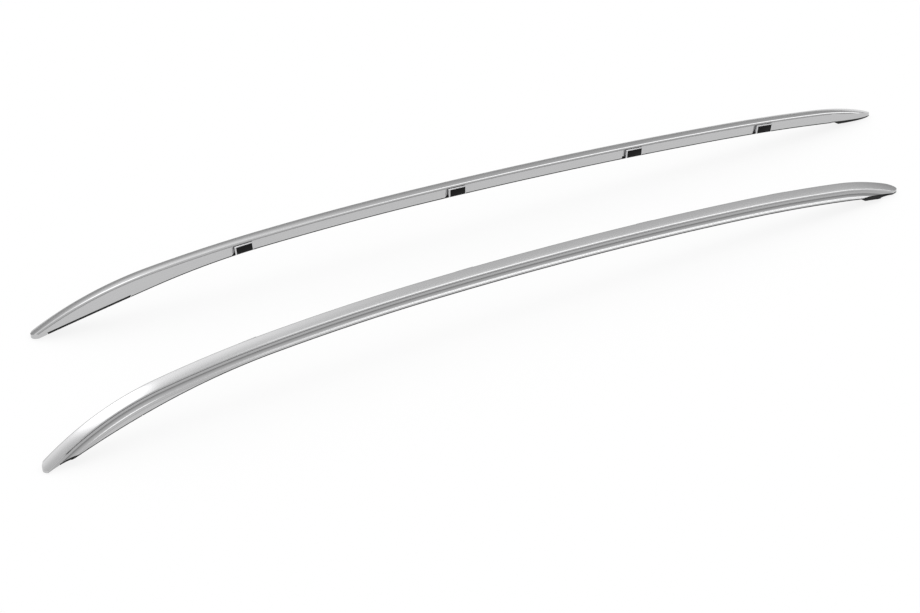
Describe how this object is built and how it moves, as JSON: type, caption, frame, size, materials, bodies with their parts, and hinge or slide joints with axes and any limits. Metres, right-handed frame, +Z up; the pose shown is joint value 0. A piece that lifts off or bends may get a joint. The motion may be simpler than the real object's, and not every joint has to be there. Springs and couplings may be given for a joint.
{
  "type": "roof side rail pair",
  "caption": "Arched flush roof side rails, left and right, in satin aluminium with a grip groove outside, rubber seals and pads underneath, and threaded brackets along the inner side.",
  "frame": {"origin": "centre of the bounding box in plan, on the ground that the tips of the rails stand on", "axes": "+X to the rear of the vehicle, +Y to its right side, +Z up"},
  "size_m": [1.9552, 0.42, 0.1241],
  "materials": {
    "rail_aluminium": "satin anodised",
    "bracket_aluminium": "plain cast",
    "seal_rubber": "matt black",
    "pad_rubber": "matt black",
    "cap_plastic": "matt black"
  },
  "bodies": {
    "root": {"left_rail": "rail_aluminium", "left_base_seal": "seal_rubber", "left_front_pad": "pad_rubber", "left_rear_pad": "pad_rubber", "left_bracket_1": "bracket_aluminium", "left_bracket_cap_1": "cap_plastic", "left_bracket_2": "bracket_aluminium", "left_bracket_cap_2": "cap_plastic", "left_bracket_3": "bracket_aluminium", "left_bracket_cap_3": "cap_plastic", "left_bracket_4": "bracket_aluminium", "left_bracket_cap_4": "cap_plastic", "right_rail": "rail_aluminium", "right_base_seal": "seal_rubber", "right_front_pad": "pad_rubber", "right_rear_pad": "pad_rubber", "right_bracket_1": "bracket_aluminium", "right_bracket_cap_1": "cap_plastic", "right_bracket_2": "bracket_aluminium", "right_bracket_cap_2": "cap_plastic", "right_bracket_3": "bracket_aluminium", "right_bracket_cap_3": "cap_plastic", "right_bracket_4": "bracket_aluminium", "right_bracket_cap_4": "cap_plastic"}
  },
  "joints": []
}
